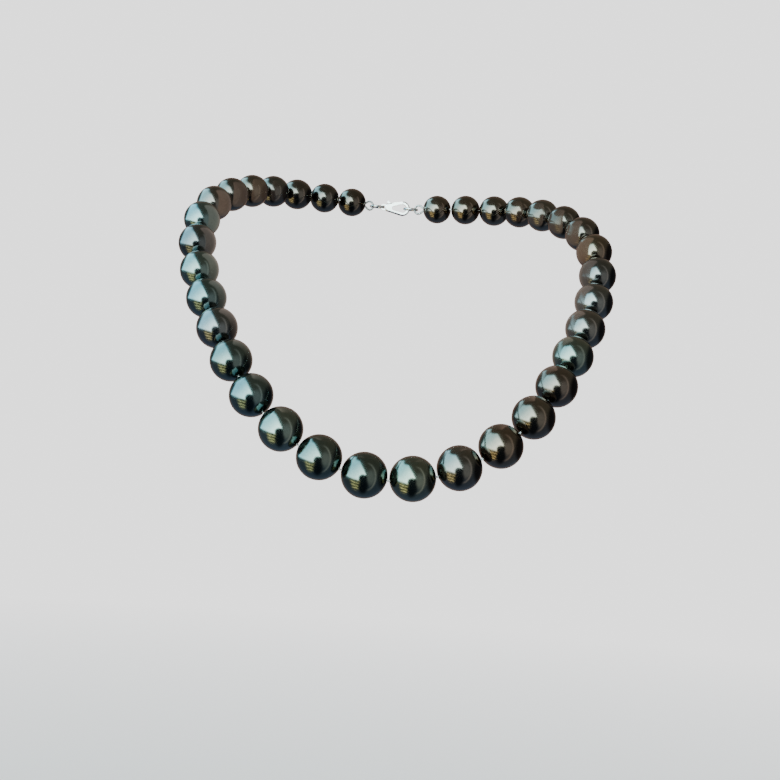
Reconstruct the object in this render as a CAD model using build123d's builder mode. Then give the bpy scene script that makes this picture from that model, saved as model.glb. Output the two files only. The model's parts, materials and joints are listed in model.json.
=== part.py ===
"""Graduated pearl necklace, closed and draped as it is worn round a neck.

The origin is on the neck's axis, level with the clasp at the nape. +Z is up, the front is
towards -Y and the strand is symmetric about the plane X = 0. Millimetres.
Pearls and silk rows are numbered from the clasp (01) to the front (17).
"""

import os

from build123d import *

# Pearls
PEARLS_PER_SIDE = 17
FRONT_PEARL = 14.0  # diameter of the largest pearls, at the front
CLASP_PEARL = 10.0  # diameter of the smallest pearls, beside the clasp
GRADING = 1.15  # above 1, the sizes change slowly at the front
BORE = 0.90  # drill hole diameter
BORE_EASE = 0.10  # rounding of the drill hole's mouth

# Silk
KNOT_GAP = 0.60  # clear space between neighbouring pearls
KNOT = 0.84  # knot diameter
SILK = 0.50  # thread diameter
SILK_SLACK = 0.05  # from a knot to the next stretch of thread, so that the strand can fold

# Gimp loops and rings
GIMP_WIRE = 0.70
GIMP_LOOP = 3.00  # loop diameter at the middle of the wire
RING_WIRE = 0.80
RING = 4.60  # ring diameter at the middle of the wire
LINK_CLEARANCE = 0.08

# Lobster clasp, in its own flat frame: X along the necklace, Y up
HOOK_AT, HOOK_R = (2.4, 0.0), 2.60
HEEL_AT, HEEL_R = (-2.6, 0.0), 1.45
EYE_AT, EYE_R, EYE_HOLE_R = (-4.4, 0.0), 1.10, 0.65
WINDOW_HOOK_R = 1.55
WINDOW_HEEL_AT, WINDOW_HEEL_R = (-0.6, 0.0), 0.90
BODY_THICK = 2.00
EYE_THICK = 1.30
RIM_ROUND = 0.44
MOUTH_START, MOUTH_END, MOUTH_FLOOR = -1.4, 2.5, 0.4
SLOT_START, SLOT_FLOOR, SLOT_WIDTH = -3.1, -0.2, 1.00
TAG_RING_AT = 3.1  # where the tag ring's wire lies in the hook
PIN_AT, PIN_R, PIN_CLEARANCE = (-2.0, 0.95), 0.30, 0.04
LEVER_TIP, LEVER_TIP_R, LEVER_LUG_R = (2.0, 2.0), 0.42, 0.62
LEVER_TAB, LEVER_TAB_R, LEVER_TAB_NECK_R = (-2.9, 2.0), 0.36, 0.5
LEVER_THIN, LEVER_WIDE, LEVER_WIDE_START = 0.90, 1.80, -1.0
SPRING_LINE = [(-3.0, -0.13), (-2.5, -0.13), (-1.2, 0.40)]
SPRING_THICK, SPRING_WIDE = 0.10, 0.70

# The strand's drape: points on its right half, from the front knot to the nape
DRAPE = [
    (0.0, -61.6, -90.4),
    (17.0, -60.6, -87.2),
    (38.7, -56.5, -73.0),
    (53.4, -41.7, -51.6),
    (62.2, -22.8, -32.5),
    (64.0, -1.7, -12.6),
    (54.5, 19.3, -2.6),
    (43.8, 34.0, 0.3),
    (29.0, 46.3, 0.6),
    (13.5, 52.6, 0.3),
    (0.0, 54.2, 0.0),
]
SCALE_LOW, SCALE_HIGH = 0.9, 1.1  # the drape's scale is between these
STEP_SPAN = 0.2  # more of the curve's parameter than any pearl takes up
BISECTIONS = 30

os.makedirs("parts", exist_ok=True)
UP = Vector(0, 0, 1)


def pearl_diameter(number):
    """Diameter of the pearls in a row, from the front size down to the clasp size."""
    from_front = (PEARLS_PER_SIDE - number) / (PEARLS_PER_SIDE - 1)
    return FRONT_PEARL - (FRONT_PEARL - CLASP_PEARL) * from_front**GRADING


# Where the clasp's rings lie along X, before the clasp is centred between the two halves
left_ring_x = EYE_AT[0] - RING / 2
right_ring_x = TAG_RING_AT + RING / 2
wire_to_wire = (RING_WIRE + GIMP_WIRE) / 2 + LINK_CLEARANCE
left_hook_x = left_ring_x - RING / 2 + wire_to_wire
right_hook_x = right_ring_x + RING / 2 - wire_to_wire
clasp_half = (right_hook_x - left_hook_x) / 2
clasp_shift = -(right_hook_x + left_hook_x) / 2
gimp_reach = GIMP_LOOP + GIMP_WIRE / 2 + SILK_SLACK


def next_knot(curve, start, step, after):
    """The curve's point that is one straight step beyond start, and its parameter."""
    low, high = after, min(after + STEP_SPAN, 1.0)
    for _ in range(BISECTIONS):
        middle = (low + high) / 2
        point = curve.position_at(middle, position_mode=PositionMode.PARAMETER)
        if (point - start).length < step:
            low = middle
        else:
            high = middle
    return point, middle


def drape(scale):
    """Ends of the chords that the pearls sit on, from the front knot to the clasp."""
    points = [Vector(*point) * scale for point in DRAPE]
    curve = Edge.make_spline(points, tangents=[(1, 0, 0), (-1, 0, 0)])
    knots, parameter = [points[0]], 0.0
    for number in range(PEARLS_PER_SIDE, 0, -1):
        step = pearl_diameter(number) + KNOT_GAP
        point, parameter = next_knot(curve, knots[-1], step, parameter)
        knots.append(point)
    return knots


def gimp_hook(knots):
    """The point where the gimp loop beyond the last pearl hooks into its ring."""
    outward = (knots[-1] - knots[-2]).normalized()
    return knots[-1] + outward * gimp_reach


# The drape is scaled until the strand and the clasp just close
small, large = SCALE_LOW, SCALE_HIGH
for _ in range(BISECTIONS):
    scale = (small + large) / 2
    if gimp_hook(drape(scale)).X > clasp_half:
        large = scale
    else:
        small = scale
knots = drape(scale)[::-1]
hook_at = gimp_hook(knots[::-1])
clasp_at = Vector(0, hook_at.Y, hook_at.Z)
print("drape scale", round(scale, 4), "clasp at", clasp_at, "half", round(clasp_half, 3))


def on_side(point, side):
    """A point of the right half, or its mirror image where side is -1."""
    return Vector(side * point.X, point.Y, point.Z)


def upright_plane(origin, along):
    """A plane through origin whose Y axis runs along the given direction."""
    normal = along.cross(UP).normalized()
    return Plane(origin=origin, x_dir=along.cross(normal), z_dir=normal)


def make_pearl(number, side):
    """A pearl drilled along its chord, with the mouths of the hole eased."""
    near, far = on_side(knots[number - 1], side), on_side(knots[number], side)
    centre, drill = (near + far) / 2, (far - near).normalized()
    radius = pearl_diameter(number) / 2
    half_bore = (radius**2 - (BORE / 2) ** 2) ** 0.5
    with BuildPart() as pearl:
        with BuildSketch(upright_plane(centre, drill)) as profile:
            with BuildLine():
                ThreePointArc((BORE / 2, -half_bore), (radius, 0), (BORE / 2, half_bore))
                Line((BORE / 2, half_bore), (BORE / 2, -half_bore))
            make_face()
            fillet(profile.vertices(), BORE_EASE)
        revolve(axis=Axis(centre, drill))
    return pearl


def thread(start, end, knotted):
    """A straight stretch of silk, with a knot centred on its end if it is knotted."""
    length = (end - start).length
    with BuildSketch(upright_plane(start, end - start)) as profile:
        with Locations((SILK / 4, length / 2)):
            Rectangle(SILK / 2, length)
        if knotted:
            with Locations((0, length)):
                Circle(KNOT / 2)
            split(bisect_by=Plane.YZ, keep=Keep.TOP)
    revolve(profile.sketch, axis=Axis(start, end - start))


def make_silk_row(number):
    """The silk through a row's two pearls, each stretch ending in the knot on its front side."""
    is_front = number == PEARLS_PER_SIDE
    with BuildPart() as silk:
        for side in (1, -1):
            near, far = on_side(knots[number - 1], side), on_side(knots[number], side)
            along = (far - near).normalized()
            start = near + along * (SILK_SLACK + KNOT / 2 if number > 1 else -SILK_SLACK / 2)
            thread(start, far, knotted=side == 1 or not is_front)
    return silk


def make_gimp(side):
    """A loop of French wire that hooks into a ring and carries the end of the strand."""
    outward = on_side((knots[0] - knots[1]).normalized(), side)
    centre = on_side(knots[0], side) + outward * (gimp_reach - GIMP_LOOP / 2)
    with BuildPart() as gimp:
        with BuildSketch(Plane(origin=centre + outward * GIMP_LOOP / 2, z_dir=UP)):
            Circle(GIMP_WIRE / 2)
        revolve(axis=Axis(centre, outward.cross(UP)))
    return gimp


def make_ring(ring_x):
    """A round wire ring that lies level, so that it crosses the upright clasp and gimp."""
    centre = clasp_at + Vector(clasp_shift + ring_x, 0, 0)
    wire_plane = Plane(origin=centre + Vector(RING / 2, 0, 0), z_dir=(0, 1, 0))
    with BuildPart() as ring:
        with BuildSketch(wire_plane):
            Circle(RING_WIRE / 2)
        revolve(axis=Axis(centre, UP))
    return ring


flat = Plane(origin=clasp_at + Vector(clasp_shift, 0, 0), x_dir=(1, 0, 0), z_dir=(0, -1, 0))


def band(circles, thick, mode=Mode.ADD):
    """A slab whose outline is a tight band round some circles, centred on the clasp's plane."""
    with BuildSketch(flat) as outline:
        with BuildLine():
            for centre, radius in circles:
                CenterArc(centre, radius, 0, 360)
        make_hull()
    extrude(outline.sketch, amount=thick / 2, both=True, mode=mode)


def disc(centre, radius, thick, mode=Mode.ADD):
    """A round slab, or a round hole, centred on the clasp's plane."""
    with BuildSketch(flat) as outline:
        with Locations(centre):
            Circle(radius)
    extrude(outline.sketch, amount=thick / 2, both=True, mode=mode)


def cut_box(low, high, thick, offset=0.0):
    """Removes a box between two corners of the clasp's flat frame."""
    middle = ((low[0] + high[0]) / 2, (low[1] + high[1]) / 2)
    with BuildSketch(flat.offset(offset)) as outline:
        with Locations(middle):
            Rectangle(high[0] - low[0], high[1] - low[1])
    extrude(outline.sketch, amount=thick / 2, both=True, mode=Mode.SUBTRACT)


# Lobster body: a tear-drop with a flat eye, a window, a mouth and a slot for the lever
through = 2 * BODY_THICK
above = 2 * HOOK_R
with BuildPart() as lobster_body:
    band([(HOOK_AT, HOOK_R), (HEEL_AT, HEEL_R)], BODY_THICK)
    fillet(lobster_body.edges().filter_by(Axis.Y, reverse=True), RIM_ROUND)
    band([(HEEL_AT, EYE_R), (EYE_AT, EYE_R)], EYE_THICK)
    band([(HOOK_AT, WINDOW_HOOK_R), (WINDOW_HEEL_AT, WINDOW_HEEL_R)], through, Mode.SUBTRACT)
    disc(EYE_AT, EYE_HOLE_R, through, Mode.SUBTRACT)
    disc(PIN_AT, PIN_R, through, Mode.SUBTRACT)
    cut_box((MOUTH_START, MOUTH_FLOOR), (MOUTH_END, above), through)
    cut_box((SLOT_START, SLOT_FLOOR), (WINDOW_HEEL_AT[0], above), SLOT_WIDTH)

# Trigger lever: a thin lug and tab in the slot, and a full-width finger across the mouth
with BuildPart() as lobster_lever:
    band([(PIN_AT, LEVER_LUG_R), (LEVER_TIP, LEVER_TIP_R)], LEVER_WIDE)
    thinned = (LEVER_WIDE - LEVER_THIN) / 2
    for side in (-1, 1):
        cheek = side * (LEVER_THIN + thinned) / 2
        cut_box((-above, -above), (LEVER_WIDE_START, above), thinned, cheek)
    band([(PIN_AT, LEVER_TAB_NECK_R), (LEVER_TAB, LEVER_TAB_R)], LEVER_THIN)
    disc(PIN_AT, PIN_R + PIN_CLEARANCE, through, Mode.SUBTRACT)

with BuildPart() as lever_pin:
    disc(PIN_AT, PIN_R, BODY_THICK)

# Leaf spring on the slot's floor, bearing on the underside of the lever
with BuildPart() as lever_spring:
    with BuildSketch(flat):
        with BuildLine():
            Polyline(*SPRING_LINE)
        trace(line_width=SPRING_THICK)
    extrude(amount=SPRING_WIDE / 2, both=True)

pieces = {
    "lobster_body": lobster_body,
    "lobster_lever": lobster_lever,
    "lever_pin": lever_pin,
    "lever_spring": lever_spring,
    "jump_ring": make_ring(left_ring_x),
    "tag_ring": make_ring(right_ring_x),
    "gimp_left": make_gimp(-1),
    "gimp_right": make_gimp(1),
}
for number in range(1, PEARLS_PER_SIDE + 1):
    pieces[f"silk_row_{number:02d}"] = make_silk_row(number)
    pieces[f"pearl_left_{number:02d}"] = make_pearl(number, -1)
    pieces[f"pearl_right_{number:02d}"] = make_pearl(number, 1)

for name, piece in pieces.items():
    piece.part.label = name
    export_step(piece.part, f"parts/{name}.step")
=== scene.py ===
"""Graduated strand of dark pearls on knotted silk, with a lobster clasp at the nape.

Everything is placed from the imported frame: pearls from their spin joints, silk rows from the
pearls that they carry, gimp and clasp metal from their CAD nodes. Metres.
"""

import json
import math
import random

import bmesh
import bpy
import numpy as np
from mathutils import Matrix, Vector


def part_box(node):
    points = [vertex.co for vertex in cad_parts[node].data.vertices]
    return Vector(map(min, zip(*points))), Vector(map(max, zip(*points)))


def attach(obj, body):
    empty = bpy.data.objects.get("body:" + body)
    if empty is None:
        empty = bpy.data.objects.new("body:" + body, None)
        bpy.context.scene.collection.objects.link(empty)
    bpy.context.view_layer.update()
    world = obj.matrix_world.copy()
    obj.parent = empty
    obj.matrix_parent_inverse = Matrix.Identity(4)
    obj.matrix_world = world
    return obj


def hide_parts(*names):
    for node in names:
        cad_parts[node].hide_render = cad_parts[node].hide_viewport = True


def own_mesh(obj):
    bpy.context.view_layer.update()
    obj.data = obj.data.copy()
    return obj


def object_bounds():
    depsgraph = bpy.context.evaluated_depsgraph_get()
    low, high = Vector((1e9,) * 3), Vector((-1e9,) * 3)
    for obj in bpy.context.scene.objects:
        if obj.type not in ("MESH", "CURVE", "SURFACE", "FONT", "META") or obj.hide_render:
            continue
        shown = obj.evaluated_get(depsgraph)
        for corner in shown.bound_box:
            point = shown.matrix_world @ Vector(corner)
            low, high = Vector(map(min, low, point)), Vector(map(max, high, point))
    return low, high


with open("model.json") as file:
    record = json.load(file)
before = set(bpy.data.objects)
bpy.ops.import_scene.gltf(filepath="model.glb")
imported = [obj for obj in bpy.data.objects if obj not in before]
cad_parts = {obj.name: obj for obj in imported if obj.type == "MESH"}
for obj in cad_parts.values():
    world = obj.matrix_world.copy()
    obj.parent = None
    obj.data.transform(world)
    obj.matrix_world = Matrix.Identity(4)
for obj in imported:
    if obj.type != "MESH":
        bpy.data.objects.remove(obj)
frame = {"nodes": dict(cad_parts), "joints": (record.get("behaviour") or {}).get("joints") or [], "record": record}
cad_low, cad_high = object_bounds()

MM = 0.001
ROWS = 17
SIDES = ("left", "right")
UP = Vector((0, 0, 1))
joints = {joint["child"]: joint for joint in frame["joints"]}
slot_of = {part["node"]: part["material_slot"] for part in frame["record"]["subparts"]}

# Sizes that the frame doesn't give
GAP_HALF = 0.3 * MM
BORE_R = 0.45 * MM
BORE_EASE = 0.10 * MM


# ---------------------------------------------------------------- nodes and materials


def shader_tree(name):
    """A new material with a plain Principled surface: the material, its tree and that shader."""
    material = bpy.data.materials.new(name)
    material.use_nodes = True
    tree = material.node_tree
    return material, tree, tree.nodes["Principled BSDF"]


def add(tree, kind, sockets=None, **settings):
    """Adds a node; sockets are its inputs by name or index, as values or as sockets to link."""
    node = tree.nodes.new(kind)
    for key, value in settings.items():
        setattr(node, key, value)
    for key, value in (sockets or {}).items():
        if isinstance(value, bpy.types.NodeSocket):
            tree.links.new(value, node.inputs[key])
        else:
            node.inputs[key].default_value = value
    return node


def maths(tree, operation, *values):
    """The result of a Math node."""
    node = add(tree, "ShaderNodeMath", dict(enumerate(values)), operation=operation)
    return node.outputs[0]


def blend_colour(tree, factor, first, second):
    """The colour between two colours."""
    node = add(tree, "ShaderNodeMix", data_type="RGBA")
    for index, value in ((0, factor), (6, first), (7, second)):
        if isinstance(value, bpy.types.NodeSocket):
            tree.links.new(value, node.inputs[index])
        else:
            node.inputs[index].default_value = value if index == 0 else (*value, 1)
    return node.outputs[2]


def ramp(tree, factor, *stops):
    """A colour ramp through (position, grey or colour) stops."""
    node = add(tree, "ShaderNodeValToRGB", {0: factor})
    elements = node.color_ramp.elements
    while len(elements) < len(stops):
        elements.new(0.5)
    for element, (position, colour) in zip(elements, stops):
        element.position = position
        element.color = (colour, colour, colour, 1) if isinstance(colour, float) else (*colour, 1)
    return node.outputs[0]


def object_noise(tree, scale, detail, offset=(0, 0, 0), stretch=(1, 1, 1)):
    """Noise fixed to the piece, with its features 1/scale metres apart."""
    where = add(tree, "ShaderNodeTexCoord").outputs["Object"]
    mapping = add(tree, "ShaderNodeMapping", {0: where, "Location": offset, "Scale": stretch})
    sockets = {0: mapping.outputs[0], "Scale": scale, "Detail": detail}
    return add(tree, "ShaderNodeTexNoise", sockets).outputs[0]


def emboss(tree, surface, height, strength, distance):
    """Bump on a surface, from a height."""
    sockets = {"Strength": strength, "Distance": distance, "Height": height}
    bump = add(tree, "ShaderNodeBump", sockets)
    tree.links.new(bump.outputs[0], surface.inputs["Normal"])


# Noise scales of the nacre, from its broad clouds of colour to its fine specks
CLOUD_SCALE = 90.0
HAZE_SCALE = 240.0
TERRACE_SCALE = 260.0
PEEL_SCALE = 700.0
SPECK_SCALE = 1400.0
# How far each pearl's noise is shifted from the one before
SEED_SHIFT = (0.37, 0.71, 0.13)


def nacre(name, body, overtone, seed):
    """Dark nacre: a satin mirror whose colour drifts between a body colour and an overtone."""
    material, tree, surface = shader_tree(name)
    offset = [seed * shift for shift in SEED_SHIFT]
    drift = object_noise(tree, CLOUD_SCALE, 2.0, offset)
    clouds = ramp(tree, drift, (0.32, 0.0), (0.68, 1.0))
    colour = blend_colour(tree, clouds, body, overtone)
    specks = ramp(tree, object_noise(tree, SPECK_SCALE, 2.0, offset), (0.30, 0.86), (0.70, 1.0))
    shade = add(tree, "ShaderNodeMix", data_type="RGBA", blend_type="MULTIPLY")
    shade.inputs[0].default_value = 1.0
    tree.links.new(colour, shade.inputs[6])
    tree.links.new(specks, shade.inputs[7])
    tree.links.new(shade.outputs[2], surface.inputs["Base Color"])
    haze = object_noise(tree, HAZE_SCALE, 4.0, offset)
    roughness = ramp(tree, haze, (0.30, 0.15), (0.75, 0.20))
    tree.links.new(roughness, surface.inputs["Roughness"])
    surface.inputs["Metallic"].default_value = 1.0
    surface.inputs["Coat Weight"].default_value = 0.35
    surface.inputs["Coat Roughness"].default_value = 0.03
    surface.inputs["Coat IOR"].default_value = 1.55
    orange_peel = object_noise(tree, PEEL_SCALE, 2.0, offset)
    terraces = object_noise(tree, TERRACE_SCALE, 3.0, offset, (1, 1, 3))
    height = maths(tree, "ADD", orange_peel, maths(tree, "MULTIPLY", terraces, 2.5))
    emboss(tree, surface, height, 0.16, 0.03 * MM)
    return material


def silk_material():
    """Pale silk, painted darker where its bump is low: painted shade in the grooves between its strands."""
    material, tree, surface = shader_tree("silk_thread")
    fibres = object_noise(tree, 5200.0, 3.0, stretch=(1, 1, 0.4))
    # The colour follows the bump's height: darker where the fibres sit low, as painted shade in the grooves
    colour = ramp(tree, fibres, (0.25, (0.58, 0.57, 0.54)), (0.75, (0.86, 0.85, 0.82)))
    tree.links.new(colour, surface.inputs["Base Color"])
    surface.inputs["Roughness"].default_value = 0.55
    surface.inputs["Sheen Weight"].default_value = 0.4
    emboss(tree, surface, fibres, 0.5, 0.02 * MM)
    return material


def polished_metal(name, colour, low, high):
    """Polished white metal with hairline scratches in its roughness."""
    material, tree, surface = shader_tree(name)
    surface.inputs["Metallic"].default_value = 1.0
    haze = object_noise(tree, 900.0, 4.0)
    tint = blend_colour(tree, haze, [0.9 * value for value in colour], colour)
    tree.links.new(tint, surface.inputs["Base Color"])
    scratches = object_noise(tree, 2500.0, 2.0, stretch=(0.15, 1, 1))
    roughness = ramp(tree, scratches, (0.35, low), (0.75, high))
    tree.links.new(roughness, surface.inputs["Roughness"])
    emboss(tree, surface, scratches, 0.08, 0.01 * MM)
    return material


# ---------------------------------------------------------------- meshes


def mesh_piece(name, vertices, faces, material, body, node):
    """A smooth piece from vertices and faces, riding on a body and replacing a CAD node."""
    mesh = bpy.data.meshes.new(name)
    mesh.from_pydata([tuple(v) for v in vertices], [], faces)
    mesh.materials.append(material)
    mesh.polygons.foreach_set("use_smooth", [True] * len(mesh.polygons))
    mesh.update()
    piece = bpy.data.objects.new(name, mesh)
    bpy.context.scene.collection.objects.link(piece)
    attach(piece, body)
    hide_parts(node)
    return piece


def ring_grid(rings, sides, closed=False):
    """Quads between successive rings of points; closed joins the last ring to the first."""
    faces = []
    for ring in range(rings if closed else rings - 1):
        upper = (ring + 1) % rings
        for side in range(sides):
            after = (side + 1) % sides
            faces.append((ring * sides + side, ring * sides + after,
                          upper * sides + after, upper * sides + side))
    return faces


def frame_along(points, closed=False):
    """A steady (across, up) pair at each point of a path, turning as little as possible."""
    count = len(points)
    frames, previous = [], None
    for index, point in enumerate(points):
        if closed:
            along = points[(index + 1) % count] - points[index - 1]
        else:
            along = points[min(index + 1, count - 1)] - points[max(index - 1, 0)]
        along.normalize()
        if previous is None:
            previous = along.orthogonal()
        across = (previous - along * previous.dot(along)).normalized()
        frames.append((across, along.cross(across)))
        previous = across
    return frames


def tube(points, section, closed=False):
    """Vertices and faces of a tube; section(index) gives the outline there as (x, y) pairs."""
    vertices = []
    for index, (point, (across, up)) in enumerate(zip(points, frame_along(points, closed))):
        vertices += [point + across * x + up * y for x, y in section(index)]
    sides = len(section(0))
    faces = ring_grid(len(points), sides, closed)
    if not closed:
        faces.append(tuple(reversed(range(sides))))
        faces.append(tuple(range(len(vertices) - sides, len(vertices))))
    return vertices, faces


def circle_section(radius, sides):
    """A round outline for tube."""
    angles = [math.tau * side / sides for side in range(sides)]
    outline = [(radius * math.cos(angle), radius * math.sin(angle)) for angle in angles]
    return lambda index: outline


# How deep the groove between two plies is, as a share of the thread's radius
PLY_GROOVE = 0.30


def ply_section(radius, sides, twist):
    """The outline of a two-ply thread, turned a little further at each step."""
    def section(index):
        outline = []
        for side in range(sides):
            angle = math.tau * side / sides
            reach = radius * (1 - PLY_GROOVE * (1 - abs(math.cos(angle))))
            turned = angle + twist * index
            outline.append((reach * math.cos(turned), reach * math.sin(turned)))
        return outline
    return section


# ---------------------------------------------------------------- pearls

PEARL_SIDES = 96
PEARL_RINGS = 72
# The rounded edge where the hole meets the skin, and the throat behind it
EDGE_DEPTH = 0.03 * MM
THROAT_DEPTH = 0.10 * MM
# The skin nearer the drill axis than this keeps the sphere's radius
MOUTH_R = 2 * BORE_R
# How far a pearl is from round, and the height and number of its faint rings
OVALITY = (0.004, 0.014)
RIPPLE = (0.0006, 0.002)
RING_WAVES = 9
# How much pearls of one kind differ in brightness and warmth
BRIGHTNESS = (0.85, 1.15)
WARMTH = (-0.08, 0.08)


def pearl_profile(radius):
    """(distance from the drill axis, place along it) from one mouth of the hole to the other."""
    mouth = math.asin((BORE_R + BORE_EASE) / radius)
    outline = []
    for step in range(PEARL_RINGS + 1):
        angle = mouth + (math.pi - 2 * mouth) * step / PEARL_RINGS
        outline.append((radius * math.sin(angle), radius * math.cos(angle)))
    inner = radius * math.cos(mouth) - BORE_EASE
    corner = [(BORE_R + EDGE_DEPTH, inner + EDGE_DEPTH), (BORE_R, inner - THROAT_DEPTH)]
    return corner[::-1] + outline + [(x, -y) for x, y in corner]


def pearl_surface(direction, character):
    """How far a real pearl falls inside its sphere in a direction, as a share of its radius."""
    oval, lean, ripple, phase = character
    squash = oval * (1 - direction.dot(lean) ** 2)
    latitude = math.acos(max(-1, min(1, direction.z)))
    rings = ripple * (0.5 + 0.5 * math.sin(RING_WAVES * latitude + phase))
    return squash + rings


def pearl_place(name):
    """A pearl's centre, the direction of its drill hole and its radius."""
    low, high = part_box(name)
    centre = Vector(joints[name]["pos_m"])
    axis = Vector(joints[name]["axis"]).normalized()
    return centre, axis, max(high - low) / 2


def make_pearl(number, side):
    """A drilled pearl on its silk: nearly round, each one a little different."""
    name = f"pearl_{side}_{number:02d}"
    centre, axis, radius = pearl_place(name)
    turn = axis.to_track_quat("Z", "Y").to_matrix()
    chance = random.Random(name)
    lean = Vector([chance.gauss(0, 1) for _ in range(3)]).normalized()
    character = (chance.uniform(*OVALITY), lean, chance.uniform(*RIPPLE),
                 chance.uniform(0, math.tau))
    vertices = []
    profile = pearl_profile(radius)
    for away, along in profile:
        for step in range(PEARL_SIDES):
            angle = math.tau * step / PEARL_SIDES
            point = Vector((away * math.cos(angle), away * math.sin(angle), along))
            if away > MOUTH_R:
                point *= 1 - pearl_surface(point.normalized(), character)
            vertices.append(centre + turn @ point)
    faces = ring_grid(len(profile), PEARL_SIDES)
    # The wall of the hole joins the two mouths
    last = len(vertices) - PEARL_SIDES
    for step in range(PEARL_SIDES):
        after = (step + 1) % PEARL_SIDES
        faces.append((last + step, last + after, after, step))
    mesh_piece(f"{name}_nacre", vertices, faces, pearl_materials[name], name, name)


# Body colour and overtone of each kind of pearl
TONES = {
    "pearl_peacock": ((0.100, 0.150, 0.148), (0.135, 0.175, 0.155)),
    "pearl_graphite": ((0.112, 0.122, 0.122), (0.145, 0.146, 0.140)),
    "pearl_bronze": ((0.118, 0.098, 0.082), (0.140, 0.130, 0.108)),
}
# The right half of the strand is tinted a little warmer, less green: painted light, standing in for the more
# neutral light that the right-hand pearls reflect
PAINTED_LIGHT_WARMTH = {"left": 0.0, "right": 0.06}
pearl_materials = {}
for side in SIDES:
    for number in range(1, ROWS + 1):
        name = f"pearl_{side}_{number:02d}"
        chance = random.Random(f"{name} colour")
        brightness = chance.uniform(*BRIGHTNESS)
        # Each pearl's random warmth, plus the painted light warmth of its side
        warmth = chance.uniform(*WARMTH) + PAINTED_LIGHT_WARMTH[side]
        tint = (brightness * (1 + warmth), brightness, brightness * (1 - warmth))
        body, overtone = TONES[slot_of[name]]
        body = [value * share for value, share in zip(body, tint)]
        overtone = [value * share for value, share in zip(overtone, tint)]
        seed = number + (ROWS if side == "right" else 0)
        pearl_materials[name] = nacre(f"nacre_{side}_{number:02d}", body, overtone, seed)
        make_pearl(number, side)


# ---------------------------------------------------------------- silk

THREAD_R = 0.2425 * MM
THREAD_SIDES = 14
THREAD_STEPS = 90
PLY_TWIST = 0.35
# Where a thread starts, just past the knot of the row before it
THREAD_START = 0.47 * MM
# An overhand knot as a trefoil: its middle reach, how much that swings, its height and its cord
KNOT_REACH = 0.155 * MM
KNOT_SWING = 0.085 * MM
KNOT_RISE = 0.16 * MM
KNOT_CORD_R = 0.125 * MM
KNOT_CORD_SIDES = 10
KNOT_STEPS = 60
# How much further round its thread each row's knot is turned
KNOT_TURN = 0.9
silk = silk_material()


def knot_loop(centre, along, phase):
    """The path of an overhand knot, drawn tight round a point of the thread."""
    across = along.orthogonal().normalized()
    up = along.cross(across)
    points = []
    for step in range(KNOT_STEPS):
        t = math.tau * step / KNOT_STEPS
        reach = KNOT_REACH + KNOT_SWING * math.cos(3 * t)
        x, y = reach * math.cos(2 * t + phase), reach * math.sin(2 * t + phase)
        z = KNOT_RISE * math.sin(3 * t)
        points.append(centre + across * x + up * y + along * z)
    return points


def merge(parts):
    """One list of vertices and faces from several."""
    vertices, faces = [], []
    for part_vertices, part_faces in parts:
        base = len(vertices)
        vertices += part_vertices
        faces += [tuple(base + index for index in face) for face in part_faces]
    return vertices, faces


def chord(number, side):
    """The two ends of a row's stretch of silk, at the middles of the gaps beside its pearl."""
    centre, axis, radius = pearl_place(f"pearl_{side}_{number:02d}")
    half = radius + GAP_HALF
    return centre - axis * half, centre + axis * half


def make_silk_row(number):
    """The two-ply thread through a row's pearls, each stretch ending in a knot."""
    parts = []
    for side in SIDES:
        near, far = chord(number, side)
        along = (far - near).normalized()
        start = near + along * (THREAD_START if number > 1 else 0.0)
        run = far - start
        points = [start + run * step / THREAD_STEPS for step in range(THREAD_STEPS + 1)]
        parts.append(tube(points, ply_section(THREAD_R, THREAD_SIDES, PLY_TWIST)))
        # The left and right stretches of the front row share one knot
        if number < ROWS or side == "right":
            path = knot_loop(far, along, number * KNOT_TURN)
            parts.append(tube(path, circle_section(KNOT_CORD_R, KNOT_CORD_SIDES), closed=True))
    vertices, faces = merge(parts)
    name = f"silk_row_{number:02d}"
    mesh_piece(f"{name}_thread", vertices, faces, silk, f"strand_{number:02d}", name)


for number in range(1, ROWS + 1):
    make_silk_row(number)


# ---------------------------------------------------------------- gimp and clasp metal

GIMP_R = 0.35 * MM
GIMP_WIRE_R = 0.05 * MM
# From one turn of the wire to the next, in radii of the wire
GIMP_PITCH = 2.3
COIL_STEPS = 14
WIRE_SIDES = 6
# How far the ends of the legs lie from the thread's middle, and how far into the pearl
LEG_SPREAD = 0.24 * MM
LEG_INSET = 0.25 * MM
ARC_STEPS = 60
LEG_STEPS = 24
LEAF_THICK = 0.10 * MM
LEAF_STEPS = 32
# Where the blade leaves the foot, as a share of the leaf's length, and how it curves up
LEAF_KNEE = 0.28
LEAF_CURVE = 1.15

silver = polished_metal("polished_white_metal", (0.88, 0.87, 0.85), 0.06, 0.18)
gimp_metal = polished_metal("gimp_wire", (0.84, 0.83, 0.80), 0.14, 0.28)
spring_metal = polished_metal("spring_steel", (0.56, 0.57, 0.58), 0.22, 0.40)


def gimp_path(side):
    """The loop of gimp: round the ring, then along both legs to the mouth of the first pearl."""
    low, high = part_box(f"gimp_{side}")
    centre = (low + high) / 2
    near, far = chord(1, side)
    out = (near - far).normalized()
    loop = (high.z - low.z) / 2 - GIMP_R
    reach = (near - centre).length + LEG_INSET
    touch = math.pi - math.acos(loop / reach)
    points = []
    for step in range(-ARC_STEPS, ARC_STEPS + 1):
        angle = touch * step / ARC_STEPS
        points.append(centre + out * (loop * math.cos(angle)) + UP * (loop * math.sin(angle)))
    legs = []
    for end, sign in ((points[-1], 1), (points[0], -1)):
        goal = centre - out * reach + UP * (sign * LEG_SPREAD)
        run = goal - end
        legs.append([end + run * step / LEG_STEPS for step in range(1, LEG_STEPS + 1)])
    return legs[1][::-1] + points + legs[0]


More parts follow.
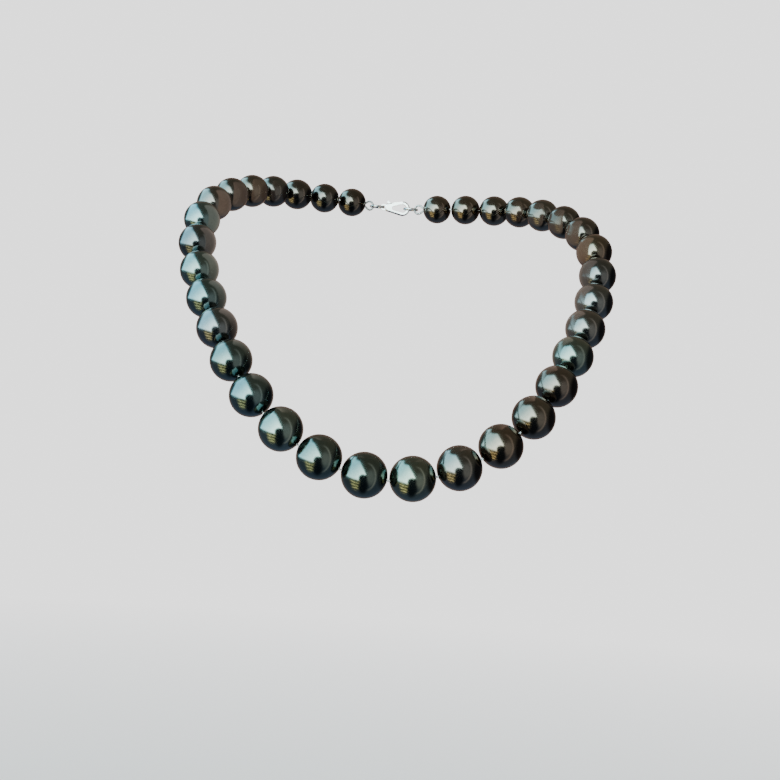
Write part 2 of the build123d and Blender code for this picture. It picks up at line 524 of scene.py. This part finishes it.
def make_gimp(side):
    """French wire: a fine wire wound close round the path of the loop."""
    path = gimp_path(side)
    lengths = [0.0]
    for first, second in zip(path, path[1:]):
        lengths.append(lengths[-1] + (second - first).length)
    frames = frame_along(path)
    turns = round(lengths[-1] / (GIMP_PITCH * GIMP_WIRE_R))
    steps = turns * COIL_STEPS
    radius = GIMP_R - GIMP_WIRE_R
    points = []
    for step in range(steps + 1):
        reached = step / steps * lengths[-1]
        index = min(int(np.searchsorted(lengths, reached, side="right")) - 1, len(path) - 2)
        part = (reached - lengths[index]) / (lengths[index + 1] - lengths[index])
        point = path[index].lerp(path[index + 1], part)
        across, up = frames[index]
        angle = math.tau * step / COIL_STEPS
        turn = across * (radius * math.cos(angle)) + up * (radius * math.sin(angle))
        points.append(point + turn)
    vertices, faces = tube(points, circle_section(GIMP_WIRE_R, WIRE_SIDES))
    node = f"gimp_{side}"
    mesh_piece(f"{node}_coil", vertices, faces, gimp_metal, "strand_01", node)


for side in SIDES:
    make_gimp(side)


def make_spring():
    """The leaf spring under the trigger: a flat foot, and a blade that the trigger presses."""
    low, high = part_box("lever_spring")
    middle = (low.y + high.y) / 2
    half = (high.y - low.y) / 2
    foot, tip = low.z + LEAF_THICK / 2, high.z - LEAF_THICK / 2
    knee = low.x + LEAF_KNEE * (high.x - low.x)
    points = []
    for step in range(LEAF_STEPS + 1):
        x = low.x + (high.x - LEAF_THICK / 4 - low.x) * step / LEAF_STEPS
        bend = max(0.0, (x - knee) / (high.x - knee))
        points.append(Vector((x, middle, foot + (tip - foot) * bend**LEAF_CURVE)))
    thin = LEAF_THICK / 2
    outline = [(-half, -thin), (half, -thin), (half, thin), (-half, thin)]
    vertices = []
    for index, point in enumerate(points):
        along = points[min(index + 1, LEAF_STEPS)] - points[max(index - 1, 0)]
        rise = Vector((-along.z, 0, along.x)).normalized()
        vertices += [point + Vector((0, across, 0)) + rise * up for across, up in outline]
    faces = ring_grid(len(points), 4) + [(3, 2, 1, 0)]
    faces.append(tuple(range(len(vertices) - 4, len(vertices))))
    leaf = mesh_piece("lever_spring_leaf", vertices, faces, spring_metal, "clasp", "lever_spring")
    leaf.data.polygons.foreach_set("use_smooth", [False] * len(faces))
    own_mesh(leaf)


make_spring()
for node in ("lobster_body", "lobster_lever", "lever_pin", "jump_ring", "tag_ring"):
    frame["nodes"][node].material_slots[0].material = silver


# ---------------------------------------------------------------- camera

LENS_MM = 83.7
CAMERA_FROM_FRONT = Vector((-26.4, -535.5, 31.6)) * MM
CAMERA_YAW = math.radians(2.65)
CAMERA_PITCH = math.radians(0.63)
CAMERA_ROLL = math.radians(4.6)

front_pair = [Vector(joints[f"pearl_{side}_{ROWS:02d}"]["pos_m"]) for side in SIDES]
front = (front_pair[0] + front_pair[1]) / 2
camera_data = bpy.data.cameras.new("camera")
camera_data.lens = LENS_MM
camera = bpy.data.objects.new("camera", camera_data)
bpy.context.scene.collection.objects.link(camera)
camera.matrix_world = (
    Matrix.Translation(front + CAMERA_FROM_FRONT)
    @ Matrix.Rotation(-CAMERA_YAW, 4, "Z")
    @ Matrix.Rotation(-CAMERA_PITCH, 4, "X")
    @ Matrix.Rotation(math.radians(90), 4, "X")
    @ Matrix.Rotation(CAMERA_ROLL, 4, "Z")
)
bpy.context.scene.camera = camera


# ---------------------------------------------------------------- floor and light

PALE = (2.0, 2.0, 2.0)
FLOOR_COLOUR = (0.62, 0.50, 0.47)
FLOOR_DROP = 0.25
FLOOR_R = 3.0
# The flag's place is its x and y, and its rise above the strand's top
FLAG_COLOUR = (0.21, 0.20, 0.155)
FLAG_R = 0.130
FLAG_X = -0.025
FLAG_Y = -0.010
FLAG_RISE = 0.115
# The drum's ends lie below and above the strand's top, and its cloth thins out at the lower end
DRUM_DIM = (0.26, 0.22, 0.17)
DRUM_WARM = (0.78, 0.63, 0.54)
DRUM_R = 0.050
DRUM_SIDES = 96
DRUM_DROP = 0.070
DRUM_RISE = 0.110
DRUM_FADE = 0.045
# It thins out towards the nape too, between these two places
DRUM_CLOSED_Y = 0.0
DRUM_OPEN_Y = 0.035
# Outlines and colours of what the mirror ball shows
BIG_SOFTBOX = [(-0.63, 0.74), (-0.34, 0.76), (0.06, 0.06), (-0.25, -0.22), (-0.88, -0.05)]
BIG_SOFTBOX_FAR = (2.2, 4.6, 5.6)
BIG_SOFTBOX_NEAR = (10.5, 12.8, 12.6)
BIG_SOFTBOX_HALO = (0.9, 1.5, 1.6)
REFLECTOR = [(-0.60, -0.16), (-0.18, -0.20), (-0.22, -0.62), (-0.42, -0.60)]
REFLECTOR_GAPS = (0.22, 0.20, 0.11)
REFLECTOR_SLATS = (3.6, 3.1, 1.5)
OVERHEAD_AT = (0.2, -0.3, 1.4)
OVERHEAD_SIZE = 1.2
OVERHEAD_WATTS = 24.0


def disc(name, radius, sides):
    """A flat round mesh."""
    bm = bmesh.new()
    bmesh.ops.create_circle(bm, cap_ends=True, segments=sides, radius=radius)
    mesh = bpy.data.meshes.new(name)
    bm.to_mesh(mesh)
    bm.free()
    return mesh


def stage_object(name, mesh, material, location=(0, 0, 0)):
    """An object on the stage, which isn't part of the necklace."""
    stage = bpy.data.objects.new(name, mesh)
    stage.location = location
    bpy.context.scene.collection.objects.link(stage)
    mesh.materials.append(material)
    return stage


def reflections_only(stage):
    """Leaves an object on the stage to be seen in reflections alone."""
    stage.visible_camera = stage.visible_diffuse = stage.visible_shadow = False


def distance_share(tree, radius):
    """How far a point lies from the middle of its object, as a share of a radius."""
    where = add(tree, "ShaderNodeTexCoord").outputs["Object"]
    distance = add(tree, "ShaderNodeVectorMath", {0: where}, operation="LENGTH")
    return maths(tree, "DIVIDE", distance.outputs["Value"], radius)


def surface_mix(tree, mask, first, second):
    """Sends a mix of two shaders to the material's surface: the second where the mask is 1."""
    mix = add(tree, "ShaderNodeMixShader", {0: mask, 1: first.outputs[0], 2: second.outputs[0]})
    tree.links.new(mix.outputs[0], tree.nodes["Material Output"].inputs["Surface"])


def glowing_cloth(name):
    """A material with no Principled shader, for cloth that shows only its own light."""
    material, tree, surface = shader_tree(name)
    tree.nodes.remove(surface)
    return material, tree


def make_floor():
    """A pale round floor that fades into the pale surroundings."""
    material, tree, surface = shader_tree("floor_pale")
    surface.inputs["Base Color"].default_value = (*FLOOR_COLOUR, 1)
    surface.inputs["Roughness"].default_value = 0.9
    fade = ramp(tree, distance_share(tree, FLOOR_R), (0.10, 0.0), (0.5, 1.0))
    surface_mix(tree, fade, surface, add(tree, "ShaderNodeEmission", {"Color": (*PALE, 1)}))
    place = (0, 0, cad_low.z - FLOOR_DROP)
    floor = stage_object("floor", disc("floor", FLOOR_R, 96), material, place)
    floor.visible_glossy = False


class Ball:
    """Masks drawn on the surroundings as a mirror ball before the camera shows them.

    The ball's picture runs from -1 to 1, x to the right and z up; its rim is what lies behind.
    """

    def __init__(self, tree):
        self.tree = tree
        where = add(tree, "ShaderNodeTexCoord").outputs["Generated"]
        axes = add(tree, "ShaderNodeSeparateXYZ", {0: where}).outputs
        twice = maths(tree, "MULTIPLY_ADD", axes[1], -2.0, 2.0)
        reach = maths(tree, "SQRT", maths(tree, "MAXIMUM", twice, 1e-6))
        self.x = maths(tree, "DIVIDE", axes[0], reach)
        self.z = maths(tree, "DIVIDE", axes[2], reach)
        self.y = axes[1]

    def plane(self, across, up, start):
        """across * x + up * z + start"""
        part = maths(self.tree, "MULTIPLY_ADD", self.x, across, start)
        return maths(self.tree, "MULTIPLY_ADD", self.z, up, part)

    def step(self, value, low, high):
        """A smooth step of a value from 0 at low to 1 at high."""
        node = add(self.tree, "ShaderNodeMapRange", {0: value, 1: low, 2: high},
                   interpolation_type="SMOOTHSTEP")
        return node.outputs[0]

    def polygon(self, corners, softness):
        """1 inside a convex outline, given clockwise as it is seen on the ball."""
        mask = None
        for (x1, z1), (x2, z2) in zip(corners, corners[1:] + corners[:1]):
            length = math.hypot(x2 - x1, z2 - z1)
            across, up = (z2 - z1) / length, (x1 - x2) / length
            inside = self.plane(across, up, -(across * x1 + up * z1))
            edge = self.step(inside, -softness, softness)
            mask = edge if mask is None else maths(self.tree, "MULTIPLY", mask, edge)
        return mask

    def oval(self, centre, radii, softness):
        """1 inside an upright oval."""
        x, z = centre
        wide, high = radii
        first = maths(self.tree, "MULTIPLY_ADD", self.x, 1 / wide, -x / wide)
        second = maths(self.tree, "MULTIPLY_ADD", self.z, 1 / high, -z / high)
        square = maths(self.tree, "MULTIPLY", first, first)
        square = maths(self.tree, "MULTIPLY_ADD", second, second, square)
        return self.step(maths(self.tree, "SQRT", square), 1 + softness, 1 - softness)

    def paint(self, under, mask, colour):
        """A colour laid over what is there, where the mask is 1."""
        return blend_colour(self.tree, mask, under, colour)


def make_surroundings():
    """Pale to the camera; to the pearls, a dim studio with one big softbox on the left."""
    world = bpy.data.worlds.new("surroundings")
    world.use_nodes = True
    bpy.context.scene.world = world
    tree = world.node_tree
    tree.nodes.clear()
    ball = Ball(tree)
    height = maths(tree, "MULTIPLY_ADD", ball.z, 0.5, 0.5)
    room = ramp(tree, height, (0.08, (0.14, 0.19, 0.28)), (0.35, (0.14, 0.17, 0.22)),
                (0.60, (0.21, 0.21, 0.18)), (0.80, (0.22, 0.20, 0.15)), (1.0, (0.32, 0.25, 0.19)))
    # Light grey wall beyond the camera on the right, then dark screens on both sides
    room = ball.paint(room, ball.oval((0.27, -0.06), (0.19, 0.30), 0.5), (0.56, 0.57, 0.55))
    room = ball.paint(room, ball.oval((0.92, 0.0), (0.34, 0.62), 0.25), (0.03, 0.03, 0.035))
    room = ball.paint(room, ball.oval((-0.96, 0.25), (0.22, 0.50), 0.2), (0.03, 0.045, 0.055))
    # A narrow strip light bent round the right-hand side
    strip = maths(tree, "SUBTRACT", ball.oval((0.08, -0.04), (0.42, 0.58), 0.08),
                  ball.oval((0.03, -0.04), (0.42, 0.58), 0.08))
    room = ball.paint(room, maths(tree, "MULTIPLY", strip, 0.8), (1.3, 1.2, 1.1))
    # The big softbox, with a soft halo, brightest at its end near the camera
    halo = maths(tree, "MULTIPLY", ball.polygon(BIG_SOFTBOX, 0.16), 0.45)
    room = ball.paint(room, halo, BIG_SOFTBOX_HALO)
    bright = ball.step(ball.plane(0.7, -0.7, 0.0), -0.70, 0.12)
    glow = blend_colour(tree, bright, BIG_SOFTBOX_FAR, BIG_SOFTBOX_NEAR)
    room = ball.paint(room, ball.polygon(BIG_SOFTBOX, 0.03), glow)
    # A warm slatted reflector below it
    noise = add(tree, "ShaderNodeTexNoise", {"Scale": 5.0}).outputs[0]
    wave = maths(tree, "MULTIPLY_ADD", noise, 6.0, ball.plane(12.0, 52.0, 0.0))
    slats = ball.step(maths(tree, "SINE", wave), -0.3, 1.0)
    warm = blend_colour(tree, slats, REFLECTOR_GAPS, REFLECTOR_SLATS)
    room = ball.paint(room, ball.polygon(REFLECTOR, 0.07), warm)
    # The camera's dark hood and stand
    room = ball.paint(room, ball.oval((-0.06, -0.11), (0.18, 0.17), 0.12), (0.01, 0.013, 0.02))
    room = ball.paint(room, ball.oval((-0.01, -0.44), (0.20, 0.33), 0.3), (0.02, 0.028, 0.042))
    # Warm and dim behind the necklace
    room = ball.paint(room, ball.step(ball.y, 0.62, 0.95), (0.36, 0.25, 0.20))
    seen = add(tree, "ShaderNodeLightPath").outputs["Is Camera Ray"]
    colour = blend_colour(tree, seen, room, PALE)
    background = add(tree, "ShaderNodeBackground", {"Color": colour, "Strength": 1.0})
    output = add(tree, "ShaderNodeOutputWorld")
    tree.links.new(background.outputs[0], output.inputs["Surface"])


def make_softbox():
    """A square softbox overhead, facing the strand, whose light reflections leave out."""
    data = bpy.data.lights.new("overhead_softbox", "AREA")
    data.shape, data.size, data.energy = "SQUARE", OVERHEAD_SIZE, OVERHEAD_WATTS
    lamp = bpy.data.objects.new("overhead_softbox", data)
    lamp.location = OVERHEAD_AT
    lamp.rotation_euler = (-Vector(OVERHEAD_AT)).to_track_quat("-Z", "Y").to_euler()
    bpy.context.scene.collection.objects.link(lamp)
    lamp.visible_glossy = False


def make_flag():
    """A round dark flag over the strand, with soft edges, which only reflections show."""
    material, tree = glowing_cloth("flag_cloth")
    edge = ramp(tree, distance_share(tree, FLAG_R), (0.70, 0.0), (1.0, 1.0))
    cloth = add(tree, "ShaderNodeEmission", {"Color": (*FLAG_COLOUR, 1)})
    surface_mix(tree, edge, cloth, add(tree, "ShaderNodeBsdfTransparent"))
    place = (FLAG_X, FLAG_Y, cad_high.z + FLAG_RISE)
    mesh = disc("overhead_flag", FLAG_R, 64)
    reflections_only(stage_object("overhead_flag", mesh, material, place))


def make_drum():
    """A plain warm drum standing inside the strand, which only reflections show.

    It is brightest at its two sides, and open at the back and for whatever looks out from inside.
    """
    bottom, top = cad_high.z - DRUM_DROP, cad_high.z + DRUM_RISE
    vertices = []
    for height in (bottom, top):
        for side in range(DRUM_SIDES):
            angle = math.tau * side / DRUM_SIDES
            vertices.append((DRUM_R * math.cos(angle), DRUM_R * math.sin(angle), height))
    mesh = bpy.data.meshes.new("warm_drum")
    mesh.from_pydata(vertices, [], ring_grid(2, DRUM_SIDES))
    mesh.polygons.foreach_set("use_smooth", [True] * len(mesh.polygons))
    material, tree = glowing_cloth("drum_cloth")
    where = add(tree, "ShaderNodeTexCoord").outputs["Object"]
    x, y, z = add(tree, "ShaderNodeSeparateXYZ", {0: where}).outputs
    aside = maths(tree, "DIVIDE", maths(tree, "ABSOLUTE", x), DRUM_R)
    warm = ramp(tree, aside, (0.25, DRUM_DIM), (0.80, DRUM_WARM))
    rise = add(tree, "ShaderNodeMapRange", {0: z, 1: bottom, 2: bottom + DRUM_FADE})
    front = add(tree, "ShaderNodeMapRange", {0: y, 1: DRUM_OPEN_Y, 2: DRUM_CLOSED_Y})
    inner = add(tree, "ShaderNodeNewGeometry").outputs["Backfacing"]
    mask = maths(tree, "MULTIPLY", rise.outputs[0], front.outputs[0])
    mask = maths(tree, "MULTIPLY", mask, maths(tree, "SUBTRACT", 1.0, inner))
    cloth = add(tree, "ShaderNodeEmission", {"Color": warm})
    surface_mix(tree, mask, add(tree, "ShaderNodeBsdfTransparent"), cloth)
    reflections_only(stage_object("warm_drum", mesh, material))


make_floor()
make_surroundings()
make_flag()
make_drum()
make_softbox()
